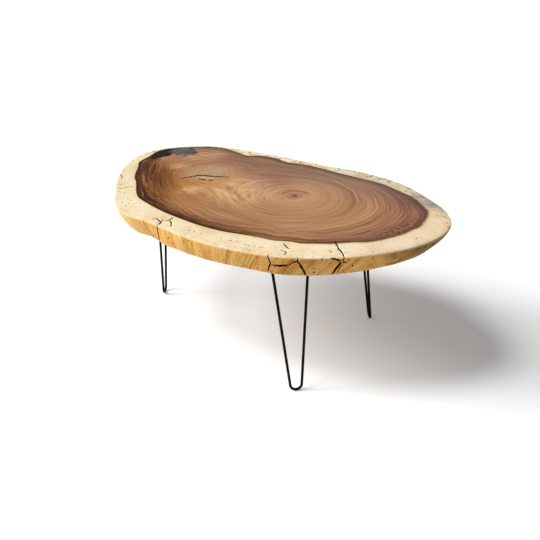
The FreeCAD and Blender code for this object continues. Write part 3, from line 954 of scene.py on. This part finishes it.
def make_resin():
    """Poured dark resin: slate grey in the middle as a painted highlight, black at its left end and brown
    at its right tip.
    """
    material, nodes, shader, place = new_material("dark_resin")
    cloud = nodes.noise(nodes.vector("MULTIPLY", place, (1, 0.5, 1)), 30, detail=4, roughness=0.6)
    # Painted highlight: lighter slate grey in the middle, darker further off.
    slate = nodes.fade(distance_to(nodes, place, RESIN_HIGHLIGHT_PIXEL, RESIN_HIGHLIGHT_STRETCH), 0.01, 0.095, 0.22, -0.36)
    colour = nodes.ramp(nodes.plus(cloud, slate), RESIN_RAMP)
    brown = nodes.fall(distance_to(nodes, place, RESIN_TIP_PIXEL), 0.005, 0.04, 0.8)
    nodes.feed(shader.inputs["Base Color"], nodes.mix(brown, colour, RESIN_TIP_COLOUR))
    nodes.feed(shader.inputs["Specular IOR Level"], RESIN_SPECULAR)
    rub(nodes, shader, place, grain=0.002, gloss=(0.3, 0.45), depth=0.0001)
    return material


def make_black_steel():
    """Satin black paint on steel."""
    material, nodes, shader, place = new_material("black_steel")
    nodes.feed(shader.inputs["Base Color"], nodes.ramp(nodes.noise(place, 60, detail=3), STEEL_RAMP))
    nodes.feed(shader.inputs["Specular IOR Level"], STEEL_SPECULAR)
    rub(nodes, shader, place, grain=0.0009, gloss=(0.42, 0.56), depth=0.00006)
    return material


def make_screw_steel():
    """Zinc plated steel."""
    material, nodes, shader, place = new_material("screw_steel")
    nodes.feed(shader.inputs["Base Color"], nodes.ramp(nodes.noise(place, 300, detail=3), ZINC_RAMP))
    nodes.feed(shader.inputs["Metallic"], 1.0)
    rub(nodes, shader, place, grain=0.0006, gloss=(0.25, 0.4), depth=0.00003)
    return material


def make_floor():
    """A pale matt floor, lifted to white for the camera and clear from below."""
    corners = [(x * FLOOR_REACH, y * FLOOR_REACH, 0) for x, y in ((-1, -1), (1, -1), (1, 1), (-1, 1))]
    floor = make_object("floor", corners, [(0, 1, 2, 3)])
    material = bpy.data.materials.new("floor")
    material.use_nodes = True
    tree = material.node_tree
    tree.nodes.remove(tree.nodes["Principled BSDF"])
    nodes = Nodes(tree)
    matt = nodes.add("BsdfDiffuse", {"Color": (*FLOOR_COLOUR, 1)}).outputs[0]
    lift = nodes.add("Emission", {"Color": (*WHITE, 1), "Strength": FLOOR_LIFT}).outputs[0]
    lifted = nodes.add("AddShader", {0: matt, 1: lift}).outputs[0]
    seen = nodes.add("LightPath").outputs["Is Camera Ray"]
    shown = nodes.add("MixShader", {0: seen, 1: matt, 2: lifted}).outputs[0]
    below = nodes.add("NewGeometry").outputs["Backfacing"]
    clear = nodes.add("BsdfTransparent").outputs[0]
    sided = nodes.add("MixShader", {0: below, 1: shown, 2: clear}).outputs[0]
    nodes.feed(tree.nodes["Material Output"].inputs["Surface"], sided)
    floor.data.materials.append(material)


def make_lamps():
    """Two soft lamps from the photo's left: a high one, and a stronger, lower and broader one."""
    for name, strength, softness, height, turn in LAMPS:
        lamp = bpy.data.objects.new(name, bpy.data.lights.new(name, "SUN"))
        lamp.data.energy = strength
        lamp.data.angle = softness
        left = Vector((-math.cos(height), 0, math.sin(height)))
        towards = Matrix.Rotation(CAMERA_TURN + turn, 3, "Z") @ left
        lamp.rotation_euler = towards.to_track_quat("Z", "Y").to_euler()
        bpy.context.scene.collection.objects.link(lamp)


def make_sky():
    """Even, faint light from all round, which the camera and reflections see as white."""
    world = bpy.context.scene.world or bpy.data.worlds.new("world")
    bpy.context.scene.world = world
    world.use_nodes = True
    tree = world.node_tree
    nodes = Nodes(tree)
    faint = tree.nodes["Background"]
    nodes.feed(faint.inputs["Color"], (*WHITE, 1))
    nodes.feed(faint.inputs["Strength"], SKY_STRENGTH)
    white = nodes.add("Background", {"Color": (*WHITE, 1), "Strength": 1.0})
    rays = nodes.add("LightPath").outputs
    seen = nodes.math("MAXIMUM", rays["Is Camera Ray"], rays["Is Glossy Ray"])
    seen = nodes.math("MAXIMUM", seen, rays["Is Transmission Ray"])
    sky = nodes.add("MixShader", {0: seen, 1: faint.outputs[0], 2: white.outputs[0]})
    nodes.feed(tree.nodes["World Output"].inputs["Surface"], sky.outputs[0])


make_camera()
make_floor()
make_lamps()
make_sky()
bpy.context.scene.view_settings.view_transform = "Standard"

rubbed_coat = make_rubbed_group()
slab, top_rim = make_slab_skin()
make_cracks(slab)
measure_slab(slab, top_rim)
slab.data.shade_smooth()
slab.data.set_sharp_from_angle(angle=SHARP_ANGLE)
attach(slab, "root")
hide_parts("slab")

steel = make_black_steel()
finishes = {"fill": make_resin(), "screws": make_screw_steel()}
for name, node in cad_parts.items():
    last_word = name.split("_")[-1]
    node.data.materials.clear()
    node.data.materials.append(finishes.get(last_word, steel))
